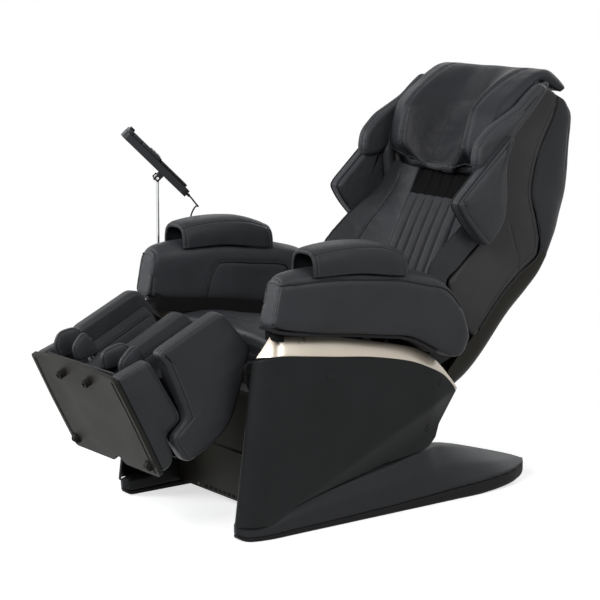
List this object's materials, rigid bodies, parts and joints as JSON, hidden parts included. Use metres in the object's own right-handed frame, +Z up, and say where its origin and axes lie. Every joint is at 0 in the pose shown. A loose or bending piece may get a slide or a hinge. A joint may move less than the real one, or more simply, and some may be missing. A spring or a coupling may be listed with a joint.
{
  "type": "massage chair",
  "caption": "Reclining massage chair with hinged leg rest, sliding foot unit, arm air cuffs, hidden roller carriage and a corded remote on a stand.",
  "frame": {"origin": "on the floor, in the middle of the underside of the base pan; the chair is centred on X=0 but for the remote stand at -X", "axes": "+Z up; -Y is the way the sitter faces; +X is the sitter's left"},
  "size_m": [0.878, 1.6821, 1.2512],
  "materials": {
    "leather_dark": "fine-grained synthetic leather, near black with a bluish sheen",
    "leather_side": "fine-grained synthetic leather, charcoal",
    "plastic_grey": "satin dark grey moulding",
    "rubber_black": "black rubber rim",
    "plastic_olive": "textured olive-grey moulding",
    "champagne": "satin champagne lacquer",
    "steel_black": "black powder coat",
    "steel_bright": "bright steel",
    "chrome": "polished chrome",
    "plastic_black": "black plastic",
    "cloth_black": "black stretch cloth",
    "roller_ivory": "ivory hard plastic",
    "keypad_grey": "grey rubber"
  },
  "bodies": {
    "base": {"base_pan": "steel_black", "base_shell_left": "plastic_grey", "base_shell_right": "plastic_grey", "base_rims": "rubber_black", "side_cover_left": "plastic_grey", "side_cover_right": "plastic_grey", "trims": "champagne", "front_skirt": "plastic_olive", "seat_frame": "steel_black", "seat_cushion": "leather_dark", "rear_panel": "plastic_olive", "air_pump": "plastic_black", "power_unit": "plastic_black", "recline_actuator": "steel_black", "legrest_actuator": "steel_black", "stand_bracket": "plastic_black"},
    "recline_drive_rod": {"recline_rod": "steel_bright"},
    "legrest_drive_rod": {"legrest_rod": "steel_bright"},
    "armrest_left": {"arm_left": "leather_side", "cuff_left": "leather_dark", "arm_tray_left": "plastic_black"},
    "armrest_right": {"arm_right": "leather_side", "cuff_right": "leather_dark", "arm_tray_right": "plastic_black"},
    "backrest": {"back_frame": "steel_black", "back_shell": "plastic_olive", "back_cover": "leather_side", "back_side_left": "leather_side", "back_side_right": "leather_side", "wing_left": "leather_side", "wing_right": "leather_side", "bolster_left": "leather_dark", "bolster_right": "leather_dark", "back_pad": "leather_dark", "neck_cloth": "cloth_black", "head_pillow": "leather_dark"},
    "lifting_screw": {"lead_screw": "steel_bright"},
    "massage_carriage": {"carriage": "steel_bright"},
    "kneader_left": {"massage_arm_left": "steel_bright"},
    "kneader_right": {"massage_arm_right": "steel_bright"},
    "upper_roller_left": {"roller_upper_left": "roller_ivory"},
    "upper_roller_right": {"roller_upper_right": "roller_ivory"},
    "lower_roller_left": {"roller_lower_left": "roller_ivory"},
    "lower_roller_right": {"roller_lower_right": "roller_ivory"},
    "legrest": {"legrest_frame": "steel_black", "calf_walls": "leather_side", "calf_pads": "leather_dark", "calf_tray": "plastic_black"},
    "foot_unit": {"foot_walls": "leather_side", "foot_pads": "leather_dark", "foot_rails": "steel_bright", "sole_panel": "plastic_olive"},
    "sole_wheel_left": {"sole_roller_left": "rubber_black"},
    "sole_wheel_right": {"sole_roller_right": "rubber_black"},
    "stand": {"remote_stand": "chrome", "remote_cord": "plastic_black"},
    "knob": {"clamp_knob": "plastic_black"},
    "remote": {"remote_body": "plastic_black"},
    "lid": {"remote_lid": "plastic_black"},
    "start_key": {"start_button": "keypad_grey"}
  },
  "joints": [
    {"name": "recline", "type": "hinge", "parent": "base", "child": "backrest", "pos_m": [0, 0.33, 0.4], "axis": [-1, 0, 0], "range_deg": [-6, 40]},
    {"name": "legrest_lift", "type": "hinge", "parent": "base", "child": "legrest", "pos_m": [0, -0.34, 0.47], "axis": [-1, 0, 0], "range_deg": [-40, 22]},
    {"name": "foot_slide", "type": "slide", "parent": "legrest", "child": "foot_unit", "axis": [0, -0.8949, -0.4462], "range_m": [0, 0.08]},
    {"name": "sole_wheel_left_spin", "type": "hinge", "parent": "foot_unit", "child": "sole_wheel_left", "pos_m": [0.193, -0.63723, 0.22795], "axis": [1, 0, 0], "continuous": true},
    {"name": "sole_wheel_right_spin", "type": "hinge", "parent": "foot_unit", "child": "sole_wheel_right", "pos_m": [-0.193, -0.63723, 0.22795], "axis": [1, 0, 0], "continuous": true},
    {"name": "armrest_left_travel", "type": "slide", "parent": "base", "child": "armrest_left", "axis": [0, 1, 0], "range_m": [-0.007, 0.042]},
    {"name": "armrest_right_travel", "type": "slide", "parent": "base", "child": "armrest_right", "axis": [0, 1, 0], "range_m": [-0.007, 0.042]},
    {"name": "recline_rod_stroke", "type": "slide", "parent": "base", "child": "recline_drive_rod", "axis": [0, 1, 0], "range_m": [-0.076, 0.013]},
    {"name": "legrest_rod_stroke", "type": "slide", "parent": "base", "child": "legrest_drive_rod", "axis": [0, 1, 0], "range_m": [-0.036, 0.064]},
    {"name": "carriage_travel", "type": "slide", "parent": "backrest", "child": "massage_carriage", "axis": [0, 0.4384, 0.8988], "range_m": [-0.15, 0.15]},
    {"name": "lifting_screw_turn", "type": "hinge", "parent": "backrest", "child": "lifting_screw", "pos_m": [0, 0.65456, 0.77575], "axis": [0, 0.4384, 0.8988], "continuous": true},
    {"name": "kneader_left_rock", "type": "hinge", "parent": "massage_carriage", "child": "kneader_left", "pos_m": [0.083, 0.59614, 0.80424], "axis": [1, 0, 0], "range_deg": [-5, 5]},
    {"name": "upper_roller_left_spin", "type": "hinge", "parent": "kneader_left", "child": "upper_roller_left", "pos_m": [0.065, 0.60986, 0.86431], "axis": [1, 0, 0], "continuous": true},
    {"name": "lower_roller_left_spin", "type": "hinge", "parent": "kneader_left", "child": "lower_roller_left", "pos_m": [0.065, 0.55726, 0.75645], "axis": [1, 0, 0], "continuous": true},
    {"name": "kneader_right_rock", "type": "hinge", "parent": "massage_carriage", "child": "kneader_right", "pos_m": [-0.083, 0.59614, 0.80424], "axis": [1, 0, 0], "range_deg": [-5, 5]},
    {"name": "upper_roller_right_spin", "type": "hinge", "parent": "kneader_right", "child": "upper_roller_right", "pos_m": [-0.065, 0.60986, 0.86431], "axis": [1, 0, 0], "continuous": true},
    {"name": "lower_roller_right_spin", "type": "hinge", "parent": "kneader_right", "child": "lower_roller_right", "pos_m": [-0.065, 0.55726, 0.75645], "axis": [1, 0, 0], "continuous": true},
    {"name": "stand_swivel", "type": "hinge", "parent": "base", "child": "stand", "pos_m": [-0.404, -0.217, 0.458], "axis": [0, 0, 1], "range_deg": [-10, 50], "deforming": ["remote_cord"]},
    {"name": "remote_tilt", "type": "hinge", "parent": "stand", "child": "remote", "pos_m": [-0.404, -0.217, 0.93], "axis": [0.8829, -0.4695, 0], "range_deg": [-20, 30], "deforming": ["remote_cord"]},
    {"name": "clamp_knob_turn", "type": "hinge", "parent": "stand", "child": "knob", "pos_m": [-0.404, -0.217, 0.93], "axis": [0.8829, -0.4695, 0], "range_deg": [-45, 45]},
    {"name": "lid_swing", "type": "hinge", "parent": "remote", "child": "lid", "pos_m": [-0.36383, -0.14145, 0.89747], "axis": [-0.8829, 0.4695, 0], "range_deg": [0, 105]},
    {"name": "start_key_press", "type": "slide", "parent": "remote", "child": "start_key", "axis": [-0.332, -0.6243, -0.7071], "range_m": [0, 0.0015], "stiffness_N_per_m": 400, "springref_m": -0.0008}
  ],
  "couplings": [
    {"joint": "armrest_left_travel", "follows": "recline", "m_per_rad": 0.057296},
    {"joint": "armrest_right_travel", "follows": "recline", "m_per_rad": 0.057296},
    {"joint": "recline_rod_stroke", "follows": "recline", "m_per_rad": -0.10628},
    {"joint": "legrest_rod_stroke", "follows": "legrest_lift", "m_per_rad": -0.08938},
    {"joint": "lifting_screw_turn", "follows": "carriage_travel", "rad_per_m": 392.7}
  ]
}
